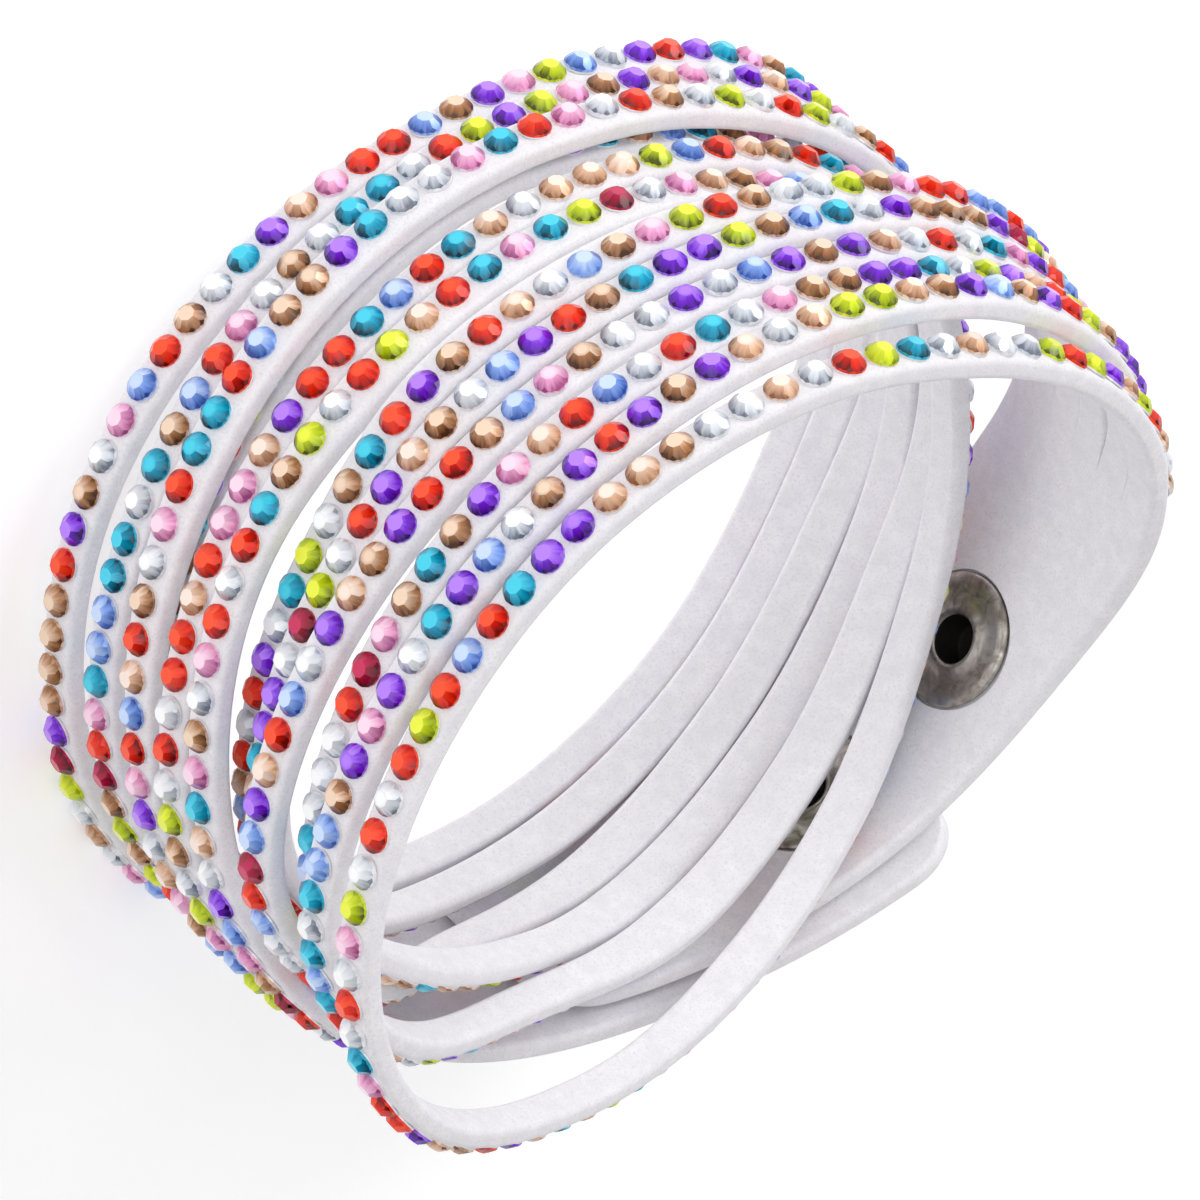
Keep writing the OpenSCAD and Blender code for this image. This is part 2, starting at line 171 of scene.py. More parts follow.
# Angle, how many degrees the upper edge of strips 1 to 6 leans outward
BANK = [
    (-340, 0, 0, 0, 0, 0, 0),
    (-180, 0, 0, 0, 0, 0, 0),
    (30, 0, 0, 0, 0, 0, 0),
    (60, 8, 8, 6, 6, 6, 0),
    (90, 18, 18, 14, 14, 12, 4),
    (120, 24, 22, 22, 20, 16, 6),
    (150, 18, 18, 16, 14, 10, 4),
    (180, 6, 6, 6, 4, 2, 0),
    (210, 0, 0, 0, 0, 0, 0),
    (360, 0, 0, 0, 0, 0, 0),
    (540, 0, 0, 0, 0, 0, 0),
]


def ease(u):
    """Goes from 0 to 1 with u, with a soft start and a soft end."""
    u = min(1.0, max(0.0, u))
    return u * u * (3 - 2 * u)


def smooth_value(table, column, angle):
    """A smooth curve through one column of a table."""
    i = 1
    while i < len(table) - 3 and angle >= table[i + 1][0]:
        i += 1
    before, here, there, after = (table[i + k] for k in (-1, 0, 1, 2))
    span = there[0] - here[0]
    leave = (there[column] - before[column]) / (there[0] - before[0]) * span
    arrive = (after[column] - here[column]) / (after[0] - here[0]) * span
    u = (angle - here[0]) / span
    return ((2 * u**3 - 3 * u**2 + 1) * here[column] + (u**3 - 2 * u**2 + u) * leave
            + (3 * u**2 - 2 * u**3) * there[column] + (u**3 - u**2) * arrive)


def oval_radius(angle):
    """Distance from the wrist's middle to the oval at one angle, in mm."""
    a = math.radians(angle)
    return OVAL_X * OVAL_Y / math.hypot(OVAL_Y * math.cos(a), OVAL_X * math.sin(a))


def strip_middle(strip, angle):
    """The middle of a strip's outer face, in mm, with Z along the wrist."""
    height = smooth_value(LAY, 1, angle)
    for neighbour in range(2, strip + 1):
        height += LANE + smooth_value(LAY, neighbour, angle)
    radius = oval_radius(angle) + smooth_value(LIFT, strip, angle)
    a = math.radians(angle)
    return Vector((radius * math.cos(a), radius * math.sin(a), height))


UP = Vector((0, 0, 1))


def strip_frame(strip, angle):
    """Middle of a strip, its direction of travel, its own upright and its outward direction."""
    heading = (strip_middle(strip, angle + 1) - strip_middle(strip, angle - 1)).normalized()
    bank = math.radians(smooth_value(BANK, strip, angle))
    upright = UP * math.cos(bank) + heading.cross(UP).normalized() * math.sin(bank)
    return strip_middle(strip, angle), heading, upright, heading.cross(upright).normalized()


# %% [markdown]
# Helpers that every material uses: one adds a node, sets its values and links its inputs, one adds
# a colour ramp, and one adds the surface. Colours are written as sRGB hex, as a designer would read
# them off a swatch, and turned to the linear values that Blender mixes light with.

# %% Helpers for materials
def linear(hex_colour):
    """The linear RGBA values of an sRGB hex colour."""
    parts = [int(hex_colour[i:i + 2], 16) / 255 for i in (1, 3, 5)]
    light = [c / 12.92 if c <= 0.04045 else ((c + 0.055) / 1.055) ** 2.4 for c in parts]
    return (*light, 1.0)


def new_material(name):
    """An empty node material."""
    material = bpy.data.materials.new(name)
    material.use_nodes = True
    material.node_tree.nodes.clear()
    return material


def add_node(owner, kind, settings=(), values=(), links=()):
    """Adds a node. Settings are properties, values sockets, links (socket, node, output)."""
    node = owner.node_tree.nodes.new(kind)
    for key, value in dict(settings).items():
        setattr(node, key, value)
    for key, value in dict(values).items():
        node.inputs[key].default_value = value
    for socket, source, output in links:
        owner.node_tree.links.new(source.outputs[output], node.inputs[socket])
    return node


def add_ramp(owner, source, output, stops):
    """Adds a colour ramp over a node's output; stops are (position, colour) pairs in order."""
    ramp = add_node(owner, "ShaderNodeValToRGB", links=[("Fac", source, output)])
    elements = ramp.color_ramp.elements
    while len(elements) < len(stops):
        elements.new(0.5)
    for element, (position, colour) in zip(elements, stops):
        element.position, element.color = position, linear(colour)
    return ramp


def add_surface(material, values, links):
    """Adds a material's surface, with its output."""
    surface = add_node(material, "ShaderNodeBsdfPrincipled", values=values, links=links)
    add_node(material, "ShaderNodeOutputMaterial", links=[("Surface", surface, "BSDF")])


# %% [markdown]
# The suede. Imitation suede is a microfibre felt, ground on its face to a short nap. It is white
# right through, so its cut edges are as white as its face. The nap scatters light at grazing
# angles, which is what the sheen does, and it has no gloss at all. Fibres are about 0.02 mm thick,
# too fine to show, so the tufts are drawn about 0.16 mm across, and a slow mottle shows where the
# nap leans.

# %% Suede material
# Sizes of the tufts and of the mottle
TUFT_MM = 0.16
MOTTLE_MM = 1.1


def suede_material():
    """White felt with a short nap, a little greyer in its pits and where the nap leans."""
    material = new_material("imitation_suede_white")
    place = add_node(material, "ShaderNodeTexCoord")
    tufts = add_node(material, "ShaderNodeTexNoise",
                     values={"Scale": 1 / (TUFT_MM * MM), "Detail": 3.0, "Roughness": 0.65},
                     links=[("Vector", place, "Object")])
    mottle = add_node(material, "ShaderNodeTexNoise",
                      values={"Scale": 1 / (MOTTLE_MM * MM), "Detail": 4.0, "Roughness": 0.6},
                      links=[("Vector", place, "Object")])
    lean = add_node(material, "ShaderNodeMapRange",
                    values={"From Min": 0.3, "From Max": 0.7, "To Min": 0.0, "To Max": 1.0},
                    links=[("Value", mottle, "Fac")])
    shade = add_node(material, "ShaderNodeMix", settings={"data_type": "RGBA"},
                     values={6: linear("#e9e7eb"), 7: linear("#f4f2f5")},
                     links=[(0, lean, "Result")])
    pits = add_node(material, "ShaderNodeMapRange",
                    values={"From Min": 0.32, "From Max": 0.5, "To Min": 0.0, "To Max": 1.0},
                    links=[("Value", tufts, "Fac")])
    felt = add_node(material, "ShaderNodeMix", settings={"data_type": "RGBA"},
                    values={6: linear("#e2dfe4")},
                    links=[(0, pits, "Result"), (7, shade, 2)])
    nap = add_node(material, "ShaderNodeBump", values={"Strength": 0.3, "Distance": 0.05 * MM},
                   links=[("Height", tufts, "Fac")])
    add_surface(material, {"Roughness": 0.95, "IOR": 1.45, "Specular IOR Level": 0.2,
                           "Sheen Weight": 0.12, "Sheen Roughness": 0.5},
                [("Base Color", felt, 2), ("Normal", nap, "Normal")])
    return material


SUEDE = suede_material()

# %% [markdown]
# The band. On the real object a die cuts the band's outline and its five slits in one stroke. It
# could be a flat sheet that a lattice bends, but the strips slip over one another, so each is made
# on its own: a grid is rolled up into a tube, one grid row for each section along the winding. A
# section is a flat bar with rounded corners, because the knife pulls the soft felt's edges round.

# %% Section of a bar, and the grid that is rolled into a tube
# Steps round a soft corner, and its radius in mm
CORNER_STEPS = 3
EDGE_SOFT = 0.42


def bar_section(low, high, soft_low, soft_high, seams=()):
    """Points round a flat bar, as (across, outward) pairs in mm. Seams are extra points on it."""
    arcs = ((low + soft_low, -soft_low, soft_low, 180),
            (high - soft_high, -soft_high, soft_high, 90),
            (high - soft_high, soft_high - BAND_THICK, soft_high, 0),
            (low + soft_low, soft_low - BAND_THICK, soft_low, -90))
    corners = []
    for across, out, soft, start in arcs:
        turns = [math.radians(start - 90 * k / CORNER_STEPS) for k in range(CORNER_STEPS + 1)]
        corners.append([(across + soft * math.cos(t), out + soft * math.sin(t)) for t in turns])
    outer_seams = [(place, 0) for place in seams]
    inner_seams = [(place, -BAND_THICK) for place in reversed(seams)]
    return corners[0] + outer_seams + corners[1] + corners[2] + inner_seams + corners[3]


def roll_tube(bm, rings):
    """Makes a grid and rolls it into a tube through the rings of points, given in mm."""
    along, around = len(rings) - 1, len(rings[0])
    grid = bmesh.ops.create_grid(bm, x_segments=along, y_segments=around, size=1)
    for vert in grid["verts"]:
        ring = round((vert.co.x + 1) / 2 * along)
        point = round((vert.co.y + 1) / 2 * around) % around
        vert.co = rings[ring][point] * MM


print("points round a strip:", len(bar_section(-1, 1, EDGE_SOFT, EDGE_SOFT)))

# %% [markdown]
# The tabs are the unslit ends of the band. Their section runs through the middles between the
# strips, so the band leaves a tab without a kink. A free end is cut with round corners, so the
# section shrinks along a quarter circle there, and its edge gets thinner over the last bit.

# %% Rings of the tabs
# Degrees from one ring to the next, mm of band in a degree, and rings over a rounded corner
RING_STEP = 1.5
MM_PER_DEGREE = math.pi * (OVAL_X + OVAL_Y) / 360
END_RINGS = 12


def seam(edge):
    """Place of a lane edge across the flat band: 0 is strip 1's free edge, 6 is strip 6's."""
    return (edge - STRIPS / 2) * LANE


def lane_edge(edge, angle):
    """Where the line between two neighbouring strips runs when the band is wound.

    The band's two free edges are half a lane beyond the outer strips' middles.
    """
    if edge == 0:
        return (3 * strip_middle(1, angle) - strip_middle(2, angle)) / 2
    if edge == STRIPS:
        return (3 * strip_middle(STRIPS, angle) - strip_middle(STRIPS - 1, angle)) / 2
    return (strip_middle(edge, angle) + strip_middle(edge + 1, angle)) / 2


def tab_frame(angle):
    """Middle, direction of travel and outward direction of the unslit band."""
    half = STRIPS // 2
    heading = (lane_edge(half, angle + 1) - lane_edge(half, angle - 1)).normalized()
    rise = strip_middle(STRIPS, angle) - strip_middle(1, angle)
    return lane_edge(half, angle), heading, heading.cross(rise).normalized()


def tab_ring(angle, section, narrow=1.0, thin=1.0):
    """The section's points at one angle. Narrow and thin shrink it about its middle."""
    edges = [lane_edge(edge, angle) for edge in range(STRIPS + 1)]
    middle, _, outward = tab_frame(angle)
    ring = []
    for across, out in section:
        place = across / LANE + STRIPS / 2
        lane = min(STRIPS - 1, max(0, int(place)))
        on_face = edges[lane].lerp(edges[lane + 1], place - lane)
        depth = (out + BAND_THICK / 2) * thin - BAND_THICK / 2
        ring.append(middle + (on_face - middle) * narrow + outward * depth)
    return ring


def quarter_round(distance, radius):
    """How far a rounded corner stands back at this distance from the end."""
    return 0 if distance >= radius else radius - math.sqrt(radius**2 - (radius - distance)**2)


def tab_rings(free_end, root):
    """Rings of a tab from its free end to where the slits begin."""
    way = 1 if root > free_end else -1
    section = bar_section(seam(0), seam(STRIPS), EDGE_SOFT, EDGE_SOFT,
                          [seam(edge) for edge in range(1, STRIPS)])
    ends = [TAB_CORNER * (1 - math.cos(math.pi / 2 * i / END_RINGS)) for i in range(END_RINGS + 1)]
    span = abs(root - free_end) - TAB_CORNER / MM_PER_DEGREE
    steps = round(span / RING_STEP)
    distances = ends + [TAB_CORNER + span * MM_PER_DEGREE * i / steps for i in range(1, steps + 1)]
    return [tab_ring(free_end + way * distance / MM_PER_DEGREE, section,
                     1 - 2 * quarter_round(distance, TAB_CORNER) / BAND_WIDTH,
                     1 - 2 * quarter_round(distance, EDGE_SOFT) / BAND_THICK)
            for distance in distances]


# %% [markdown]
# The strips. At the end of a slit a strip still holds the tab's points, so the two skins meet there
# edge to edge. Over the next few millimetres its section eases into a bar of its own, as wide as a
# lane less the cut, with four soft corners. It is cut upright there, because the strips lie stacked
# on their edges and one that was cut square to its slope would bite into the next.
#
# The felt has been pulled wider in places. Inside the wrist opening the edges of strips 2 to 6
# stand out from the cut, into a share of the room beside them, and three edges do so at the front.

# %% Rings of the strips
# Degrees over which a strip eases out of its tab
ROOT_SPAN = 14.0
# How much of the room beside it an edge is pulled into, and how far at most in mm
PULL_SHARE, PULL_MOST = 0.33, 0.42
# Angles where a pull starts, is full, ebbs and ends: inside, then for a strip's low or high edge
LOW, HIGH = 0, 1
PULLED_INSIDE = (66, 96, 146, 176)
PULLED_AT_FRONT = {
    (1, LOW): (-110, -90, -60, -35),
    (3, HIGH): (245, 265, 330, 352),
    (6, HIGH): (250, 270, 305, 330),
}


def pull(angle, stretch):
    """How far an edge that is free to stands out over a stretch of angles, in mm."""
    start, full, ebb, end = stretch
    return PULL_MOST * ease(min((angle - start) / (full - start), (end - angle) / (end - ebb)))


def pulled_edges(strip, angle):
    """How far a strip's low and high edges stand out from where they were cut, in mm."""
    pulls = []
    for edge, room in ((LOW, strip), (HIGH, strip + 1)):
        has_room = 2 < room <= STRIPS
        share = smooth_value(LAY, room, angle) * PULL_SHARE / PULL_MOST if has_room else 0
        pulls.append(pull(angle, PULLED_INSIDE) * min(1.0, max(0.0, share)))
        if (strip, edge) in PULLED_AT_FRONT:
            pulls[edge] += pull(angle, PULLED_AT_FRONT[strip, edge])
    return pulls


def strip_rings(strip):
    """Rings of a strip from the inner tab to the outer one."""
    steps = round((SLIT_END - SLIT_START) / RING_STEP)
    rings = []
    for i in range(steps + 1):
        angle = SLIT_START + (SLIT_END - SLIT_START) * i / steps
        free = ease(min(angle - SLIT_START, SLIT_END - angle) / ROOT_SPAN)
        soft_low = EDGE_SOFT if strip == 1 else EDGE_SOFT * free
        soft_high = EDGE_SOFT if strip == STRIPS else EDGE_SOFT * free
        low, high = seam(strip - 1), seam(strip)
        rooted = tab_ring(angle, bar_section(low, high, soft_low, soft_high))
        middle, _, upright, outward = strip_frame(strip, angle)
        low_pull, high_pull = pulled_edges(strip, angle)
        own = bar_section(-STRIP_WIDTH / 2 - low_pull, STRIP_WIDTH / 2 + high_pull,
                          soft_low, soft_high)
        hanging = [middle + upright * across + outward * out for across, out in own]
        rings.append([a.lerp(b, free) for a, b in zip(rooted, hanging)])
    return rings


# %% [markdown]
# Now the skin is put together. Merging by distance welds the strips to the tabs, and holes_fill
# closes the two free ends. The bracelet is then laid on its side: it leans until three stretches
# of its lower edge rest on the table, and it is set over the middle of its outline.

# %% Band
# How far the bracelet leans on its side, in degrees about X and Y
LEAN_X, LEAN_Y = -8.9, 5.4
WELD_MM = 0.001

lean = (Matrix.Rotation(math.radians(LEAN_Y), 4, "Y")
        @ Matrix.Rotation(math.radians(LEAN_X), 4, "X"))


def new_piece(name, bm, *materials):
    """Turns a bmesh into an object that rides on the one body, at the origin."""
    mesh = bpy.data.meshes.new(name)
    bm.to_mesh(mesh)
    bm.free()
    for material in materials:
        mesh.materials.append(material)
    piece = bpy.data.objects.new(name, mesh)
    bpy.context.scene.collection.objects.link(piece)
    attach(piece, "root")
    return piece


def even_shading(piece):
    """Keeps large flat faces flat under smooth shading."""
    piece.modifiers.new("even_shading", "WEIGHTED_NORMAL").keep_sharp = True


band_mesh = bmesh.new()
roll_tube(band_mesh, tab_rings(INNER_END, SLIT_START))
for strip in range(1, STRIPS + 1):
    roll_tube(band_mesh, strip_rings(strip))
roll_tube(band_mesh, tab_rings(OUTER_END, SLIT_END))
bmesh.ops.remove_doubles(band_mesh, verts=band_mesh.verts, dist=WELD_MM * MM)
bmesh.ops.holes_fill(band_mesh, edges=[e for e in band_mesh.edges if e.is_boundary], sides=0)
bmesh.ops.recalc_face_normals(band_mesh, faces=band_mesh.faces)
for face in band_mesh.faces:
    face.smooth = True
bmesh.ops.transform(band_mesh, matrix=lean, verts=band_mesh.verts)

# The CAD band's box shows where the leaning band stands in the frame
cad_low, cad_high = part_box("suede_band")
own_low = Vector([min(v.co[i] for v in band_mesh.verts) for i in range(3)])
own_high = Vector([max(v.co[i] for v in band_mesh.verts) for i in range(3)])
shift = (cad_low + cad_high - own_low - own_high) / 2
bmesh.ops.translate(band_mesh, vec=shift, verts=band_mesh.verts)
lay_down = Matrix.Translation(shift) @ lean
print("open edges:", sum(e.is_boundary for e in band_mesh.edges),
      "faces:", len(band_mesh.faces), "shift mm:", [round(c / MM, 3) for c in shift])

band = new_piece("suede_wrap_band", band_mesh, SUEDE)
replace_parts(band, "suede_band")

# %% [markdown]
# The snaps go through punched holes. Each ring is pressed into the felt by the riveting tool, and
# leaves a shallow seat. A Boolean modifier with plain cylinders does what the punch does. Its
# result is kept as the band's mesh, because the punches are taken away again.

# %% Punch the snap holes
OPEN_STUD_AT, CLOSED_STUD_AT = -213.5, -240.2
# The outer tab lies over the inner one two turns further along the band
TWO_TURNS = 720
# Both studs sit this far from the middle of the tab's width
STUD_UP = 0.8
RING_DIAMETER, SHANK_DIAMETER, BARREL_DIAMETER = 8.6, 4.6, 6.0
# How deep a ring is pressed into the felt, and the air round the metal
PRESS = 0.2
FIT = 0.15
PUNCH_SIDES = 48


def snap_place(angle, out=0.0):
    """Matrix of a snap in metres: X along the band, Z outward, origin on the tab's outer face."""
    middle, heading, outward = tab_frame(angle)
    side = outward.cross(heading)
    middle = middle + side * STUD_UP + outward * out
    turn = Matrix((heading, side, outward)).transposed().to_4x4()
    return lay_down @ Matrix.Translation(middle * MM) @ turn @ Matrix.Scale(MM, 4)


# How far the outer tab's face lies outside the inner tab's, in mm
under, _, way_out = tab_frame(CLOSED_STUD_AT)
cover = (tab_frame(CLOSED_STUD_AT + TWO_TURNS)[0] - under).dot(way_out)


def add_punch(bm, place, diameter, low, high):
    """Adds a round cutter from one height to another over the tab's outer face, in mm."""
    made = bmesh.ops.create_cone(bm, cap_ends=True, segments=PUNCH_SIDES, radius1=diameter / 2,
                                 radius2=diameter / 2, depth=high - low)
    bmesh.ops.translate(bm, vec=(0, 0, (high + low) / 2), verts=made["verts"])
    bmesh.ops.transform(bm, matrix=place, verts=made["verts"])


def punch(piece, cutters):
    """Cuts the cutters out of the piece and keeps the result as its mesh."""
    mesh = bpy.data.meshes.new("punch")
    cutters.to_mesh(mesh)
    cutters.free()
    tool = bpy.data.objects.new("punch", mesh)
    bpy.context.scene.collection.objects.link(tool)
    cut = piece.modifiers.new("punch", "BOOLEAN")
    cut.operation, cut.solver, cut.object = "DIFFERENCE", "EXACT", tool
    bpy.context.view_layer.update()
    cut_piece = piece.evaluated_get(bpy.context.evaluated_depsgraph_get())
    done = bpy.data.meshes.new_from_object(cut_piece)
    piece.modifiers.clear()
    old, piece.data = piece.data, done
    bpy.data.meshes.remove(old)
    bpy.data.objects.remove(tool)
    bpy.data.meshes.remove(mesh)


bores, seats = bmesh.new(), bmesh.new()
for angle in (OPEN_STUD_AT, CLOSED_STUD_AT):
    add_punch(bores, snap_place(angle), SHANK_DIAMETER + 2 * FIT, -2 * BAND_THICK, FIT)
    add_punch(seats, snap_place(angle), RING_DIAMETER + 2 * FIT, -2 * BAND_THICK,
              PRESS - BAND_THICK)
add_punch(bores, snap_place(CLOSED_STUD_AT, cover), BARREL_DIAMETER + 2 * FIT, -BAND_THICK - FIT,
          2 * FIT)
punch(band, bores)
punch(band, seats)
even_shading(band)
print("band faces after punching:", len(band.data.polygons), "cover mm:", round(cover, 2))

# %% [markdown]
# The metal of the snaps is brass with a nickel plating that has gone dull. Its base colour is
# nickel's warm grey. Tarnish darkens it in clouds about a millimetre across, and the riveting tool
# leaves dents, so its reflections break up. The cap on the outside was never struck, and a sleeve
# rubs it, so it is cleaner and smoother.

# %% Snap metal
# Sizes of the clouds of tarnish and of the dents
CLOUD_MM = 1.3
DENT_MM = 0.5


def snap_metal(name, tarnish, swirl, dent_strength):
    """Dull nickel plating, from the colour of its tarnish to the clean metal."""
    material = new_material(name)
    place = add_node(material, "ShaderNodeTexCoord")
    clouds = add_node(material, "ShaderNodeTexNoise",
                      values={"Scale": 1 / (CLOUD_MM * MM), "Detail": 5.0, "Roughness": 0.65,
                              "Distortion": swirl},
                      links=[("Vector", place, "Object")])
    dents = add_node(material, "ShaderNodeTexNoise",
                     values={"Scale": 1 / (DENT_MM * MM), "Detail": 3.0, "Roughness": 0.5},
                     links=[("Vector", place, "Object")])
    plating = add_ramp(material, clouds, "Fac", [(0.36, tarnish), (0.62, "#cdc8c0")])
    dullness = add_node(material, "ShaderNodeMapRange",
                        values={"From Min": 0.35, "From Max": 0.65, "To Min": 0.55, "To Max": 0.3},
                        links=[("Value", clouds, "Fac")])
    bump = add_node(material, "ShaderNodeBump",
                    values={"Strength": dent_strength, "Distance": 0.06 * MM},
                    links=[("Height", dents, "Fac")])
    add_surface(material, {"Metallic": 1.0},
                [("Base Color", plating, "Color"), ("Roughness", dullness, "Result"),
                 ("Normal", bump, "Normal")])
    return material


def hollow_painted_shade():
    """Painted shade: the inside of the hollow is drawn nearly black, so the hole reads as a hole.
    """
    material = new_material("painted_shade_in_hollow")
    place = add_node(material, "ShaderNodeTexCoord")
    shade_mottle = add_node(material, "ShaderNodeTexNoise", values={"Scale": 1 / (CLOUD_MM * MM)},
                    links=[("Vector", place, "Object")])
    # The hollow's painted shade: near black, with a faint mottle
    shade = add_node(material, "ShaderNodeMix", settings={"data_type": "RGBA"},
                     values={6: linear("#15110f"), 7: linear("#2b2521")}, links=[(0, shade_mottle, "Fac")])
    add_surface(material, {"Metallic": 0.6, "Roughness": 0.6}, [("Base Color", shade, 2)])
    return material


STUD_METAL = snap_metal("nickel_plate_tarnished", "#8b837b", 0.8, 0.5)
CAP_METAL = snap_metal("nickel_plate_rubbed", "#aaa49c", 0.2, 0.1)
HOLLOW_PAINTED_SHADE = hollow_painted_shade()

# %% [markdown]
# A stud is turned and riveted from sheet, so it is a solid of revolution: a profile is drawn from
# the bottom of its hollow, over the rolled collar and the ring, up the shank, round the flange and
# over the knob, and spun round its axis. The socket's cap is a dome with a rolled rim.

# %% Spun snaps
# Radius and height in mm, heights from the tab's outer face
STUD_PROFILE = (
    (0, 0.5), (1.4, 0.5), (1.5, 0.4), (1.5, -1.5), (1.56, -1.68), (1.68, -1.83), (1.86, -1.9),
    (2.02, -1.86), (2.2, -1.76), (2.5, -1.7), (3.0, -1.72), (3.5, -1.8), (3.85, -1.87),
    (4.08, -1.84), (4.24, -1.72), (4.3, -1.58), (4.22, -1.4), (4.05, -1.31), (2.3, -1.3),
    (2.3, 0.1), (2.9, 0.1), (3.0, 0.2), (3.0, 0.32), (2.9, 0.4), (1.75, 0.4), (1.7, 0.5),
    (1.7, 0.85), (1.82, 0.95), (1.96, 1.08), (2.0, 1.25), (1.94, 1.44), (1.8, 1.56), (1.6, 1.6),
    (0, 1.6))
CAP_PROFILE = (
    (0, -1.4), (2.2, -1.4), (2.2, -1.35), (3.0, -1.35), (3.0, 0.1), (4.7, 0.1), (4.9, 0.16),
    (5.0, 0.32), (4.98, 0.5), (4.84, 0.66), (4.6, 0.78), (4.1, 1.02), (3.4, 1.29), (2.6, 1.5),
    (1.7, 1.63), (0.8, 1.69), (0, 1.7))
SPIN_STEPS = 64
# Faces nearer to the axis and lower than this are inside the hollow, which gets the painted shade
HOLLOW_RADIUS, HOLLOW_TOP = 1.55, 0.6


def spun_piece(name, profile, place, metal):
    """Spins a profile round its axis and sets it in its place."""
    bm = bmesh.new()
    verts = [bm.verts.new((radius, 0, height)) for radius, height in profile]
    edges = [bm.edges.new(pair) for pair in zip(verts, verts[1:])]
    bmesh.ops.spin(bm, geom=verts + edges, cent=(0, 0, 0), axis=(0, 0, 1), angle=math.tau,
                   steps=SPIN_STEPS, use_merge=True)
    bmesh.ops.remove_doubles(bm, verts=bm.verts, dist=WELD_MM)
    bmesh.ops.recalc_face_normals(bm, faces=bm.faces)
    for face in bm.faces:
        middle = face.calc_center_median()
        in_hollow = math.hypot(middle.x, middle.y) < HOLLOW_RADIUS and middle.z < HOLLOW_TOP
        # Faces inside the hollow get the near-black painted shade
        face.material_index = 1 if in_hollow else 0
        face.smooth = True
    bmesh.ops.transform(bm, matrix=place, verts=bm.verts)
    print(name, "faces", len(bm.faces), "open edges", sum(e.is_boundary for e in bm.edges))
    piece = new_piece(name, bm, metal, HOLLOW_PAINTED_SHADE)
    even_shading(piece)
    return piece


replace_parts(spun_piece("stud_open", STUD_PROFILE, snap_place(OPEN_STUD_AT), STUD_METAL),
            "snap_stud_open")
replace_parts(spun_piece("stud_closed", STUD_PROFILE, snap_place(CLOSED_STUD_AT), STUD_METAL),
            "snap_stud_closed")
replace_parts(spun_piece("socket_cap", CAP_PROFILE, snap_place(CLOSED_STUD_AT, cover), CAP_METAL),
            "snap_socket")

# %% [markdown]
# One stone. A flat-back glass stone has a table, eight main facets, eight steeper facets between
# them and a thin upright girdle. It is cut the way the real one is ground: a short round blank,
# and one plane for each facet, with bisect_plane taking away what lies outside. One more plane
# parts the foot, where the foil wraps round the edge.

# %% Cut the stone
STONE_DIAMETER = 2.0
STONE_HEIGHT = 0.82
# Radius of the table, heights of the girdle and of the foil foot, all in mm
TABLE_REACH = 0.46
GIRDLE = 0.24
FOOT = 0.12
# Facets of each kind, and how steep the two kinds are
FACET_PAIRS = 8
MAIN_SLOPE, LOWER_SLOPE = 1.0, 1.6
BLANK_SIDES = 16


def cut_stone():
    """A stone in mm, its foot on Z = 0."""
    bm = bmesh.new()
    blank = bmesh.ops.create_cone(bm, cap_ends=True, segments=BLANK_SIDES, depth=STONE_HEIGHT,
                                  radius1=STONE_DIAMETER / 2, radius2=STONE_DIAMETER / 2)
    bmesh.ops.translate(bm, vec=(0, 0, STONE_HEIGHT / 2), verts=blank["verts"])
    kinds = ((0, MAIN_SLOPE, TABLE_REACH, STONE_HEIGHT),
             (0.5, LOWER_SLOPE, STONE_DIAMETER / 2, GIRDLE))
    for k in range(FACET_PAIRS):
        for offset, slope, reach, height in kinds:
            turn = math.radians(360 / FACET_PAIRS * (k + offset))
            flat = Vector((math.cos(turn), math.sin(turn), 0))
            cut = bmesh.ops.bisect_plane(bm, geom=bm.verts[:] + bm.edges[:] + bm.faces[:],
                                         plane_co=flat * reach + UP * height,
                                         plane_no=flat * slope + UP, clear_outer=True)
            rim = [part for part in cut["geom_cut"] if isinstance(part, bmesh.types.BMEdge)]
            bmesh.ops.edgeloop_fill(bm, edges=rim)
    bmesh.ops.bisect_plane(bm, geom=bm.verts[:] + bm.edges[:] + bm.faces[:],
                           plane_co=UP * FOOT, plane_no=UP)
    bmesh.ops.remove_doubles(bm, verts=bm.verts, dist=WELD_MM)
    bmesh.ops.recalc_face_normals(bm, faces=bm.faces)
    return bm


stone = cut_stone()
stone_template = bpy.data.meshes.new("stone_template")
stone.to_mesh(stone_template)
print("faces of a stone:", len(stone.faces), "open edges:", sum(e.is_boundary for e in stone.edges))

# %% [markdown]
# What the eye sees in such a stone is the foil behind it, through the facets. The table throws the
# light straight back and looks pale, the facets round it show the body colour and go dark towards
# the rim, and the clear edge of the glass is a thin light line. Real glass over a mirror needs
# thousands of light paths to show this, so each facet carries its tone as an attribute instead:
# 0 is the darkest tone and 1 the palest.

# %% Tone of each facet
TABLE_TONE, GIRDLE_TONE = 0.66, 0.9
# A normal's Z is above the first on the table and under the second on the girdle
FLATTEST_FACET, STEEPEST_FACET = 0.95, 0.2
MAIN_TONES = (0.6, 0.46, 0.54, 0.42, 0.62, 0.48, 0.56, 0.44)
LOWER_TONES = (0.5, 0.4, 0.54, 0.42, 0.56, 0.38, 0.48, 0.44)


def facet_tone(face):
    """Tone of one facet, from which way it looks."""
    if face.normal.z > FLATTEST_FACET:
        return TABLE_TONE
    if face.normal.z < STEEPEST_FACET:
        return GIRDLE_TONE
    facets = 2 * FACET_PAIRS
    turn = math.atan2(face.normal.y, face.normal.x) / math.tau
    pair, is_lower = divmod(round(turn * facets) % facets, 2)
    return LOWER_TONES[pair] if is_lower else MAIN_TONES[pair]


# For each face: whether it is foil, its tone, its normal and its corners seen from above
FACETS = [(face.calc_center_median().z < FOOT, facet_tone(face), face.normal.copy(),
           [(loop.vert.co.x, loop.vert.co.y) for loop in face.loops]) for face in stone.faces]
stone.free()
